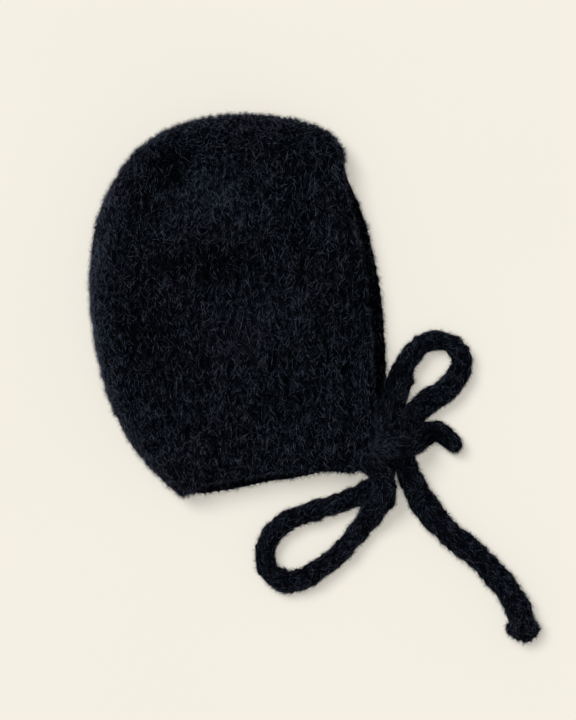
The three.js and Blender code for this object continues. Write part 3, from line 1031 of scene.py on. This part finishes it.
def add_light():
    scene = bpy.context.scene
    scene.view_settings.view_transform = "Standard"
    scene.view_settings.look = "None"
    world = bpy.data.worlds.new("soft_room")
    scene.world = world
    world.use_nodes = True
    background = world.node_tree.nodes["Background"]
    background.inputs["Color"].default_value = (1.0, 1.0, 1.0, 1.0)
    background.inputs["Strength"].default_value = ROOM_LIGHT
    data = bpy.data.lights.new("window", "SUN")
    data.energy = WINDOW_LIGHT
    data.angle = math.radians(WINDOW_WIDTH)
    window = bpy.data.objects.new("window", data)
    scene.collection.objects.link(window)
    window.rotation_euler = Vector(TOWARD_WINDOW).to_track_quat("Z", "Y").to_euler()


add_camera()
add_light()
add_floor()

knit = yarn_finish("brushed_knit")
cord_knit = yarn_finish("knitted_cord")
loose = fibre_finish()

shell_outline = fold_outline(coordinates(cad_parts["bonnet_shell"].data))
shell = make_shell(knit)

upper_path, upper_length = smooth_path(route_points(UPPER_TIE_ROUTE), CORD_STEP * MM)
lower_path, lower_length = smooth_path(route_points(LOWER_TIE_ROUTE), CORD_STEP * MM)
upper_path = eased(upper_path)
lower_path = eased(lower_path)
upper_radius = cord_radius(upper_path, 11, UPPER_TIE_SWELLS, round_end=True)
lower_radius = cord_radius(lower_path, 21, LOWER_TIE_SWELLS)
upper_tie = wrapped_tube("upper_tie", upper_path, upper_radius, cord_knit, 12)
lower_tie = wrapped_tube("lower_tie", lower_path, lower_radius, cord_knit, 22)
tail_knot = make_end_knot(cord_knit)
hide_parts("upper_tie_root", "lower_loop", "short_tail", "bow_knot")
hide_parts("lower_tie_root", "upper_loop", "long_tail")


# Where the fibres stand: each gives the share of fibres at places on a surface
def seen_side(places, facing):
    """The side that shows, and little of the rest."""
    return np.where(facing[:, 2] > -0.25, 1.0, 0.0) * np.where(places[:, 2] > 0.0012, 1.0, 0.3)


def under_side(places, facing):
    """Mostly the side that lies down, and the hollow."""
    return np.where(facing[:, 2] < 0.1, 1.0, 0.08)


def rims(places, facing):
    """Mostly the sides of the piece, which make its outline."""
    return np.where(facing[:, 2] > -0.6, 0.35 + 3.0 * (1 - np.abs(facing[:, 2])) ** 1.5, 0.1)


def cord_sides(places, facing):
    """The sides that make the outline from above."""
    return np.exp(-(facing[:, 2] / 0.4) ** 2)


def outer_sides(places, facing):
    """The hood's sides that look away from its middle, not into its hollow."""
    outward = (places[:, :2] * facing[:, :2]).sum(axis=1) > 0
    return cord_sides(places, facing) * outward


TIE_STRANDS = {"tone": tie_tone, "thick": (0.03, 0.085)}
TIE_FIBRES = {
    "tone": tie_tone, "length": (1.8, 4.6), "rise": (0.08, 0.6),
    "thick": (0.025, 0.06), "bends": 0.9,
}
upper_lay = along_path(upper_path)
lower_lay = along_path(lower_path)

strands("nap", shell, 49000, loose, 101, "brushed_knit", along_legs, seen_side, painted_nap_light_and_tone)
loose_fibres(
    "nap_over", shell, 13000, loose, 106, "brushed_knit", seen_side, painted_nap_light_and_tone,
    length=(2.4, 6.5), rise=(0.1, 0.35), thick=(0.035, 0.075), bends=0.8, lay=along_legs,
)
strands("nap_under", shell, 13000, loose, 121, "brushed_knit", along_legs, under_side)
loose_fibres("pile", shell, 5000, loose, 111, "brushed_knit", rims, painted_nap_light_and_tone)
fuzz("fuzz", shell, 18000, loose, 113, outer_sides, painted_nap_light_and_tone)
stray_hairs("stray_hairs", shell, 300, loose, 116, seen_side)
strands("upper_tie_nap", upper_tie, 10500, loose, 131, "knitted_cord", upper_lay, **TIE_STRANDS)
strands("lower_tie_nap", lower_tie, 11000, loose, 141, "knitted_cord", lower_lay, **TIE_STRANDS)
strands("tail_knot_nap", tail_knot, 1500, loose, 151, "knitted_cord", any_way, tone=tie_tone)
loose_fibres("upper_tie_pile", upper_tie, 3400, loose, 161, "knitted_cord", **TIE_FIBRES)
loose_fibres("lower_tie_pile", lower_tie, 3500, loose, 171, "knitted_cord", **TIE_FIBRES)
fuzz("upper_tie_fuzz", upper_tie, 4500, loose, 163, cord_sides, tie_tone)
fuzz("lower_tie_fuzz", lower_tie, 4500, loose, 173, cord_sides, tie_tone)
loose_fibres("tail_knot_pile", tail_knot, 300, loose, 181, "knitted_cord", length=(1.6, 3.6))
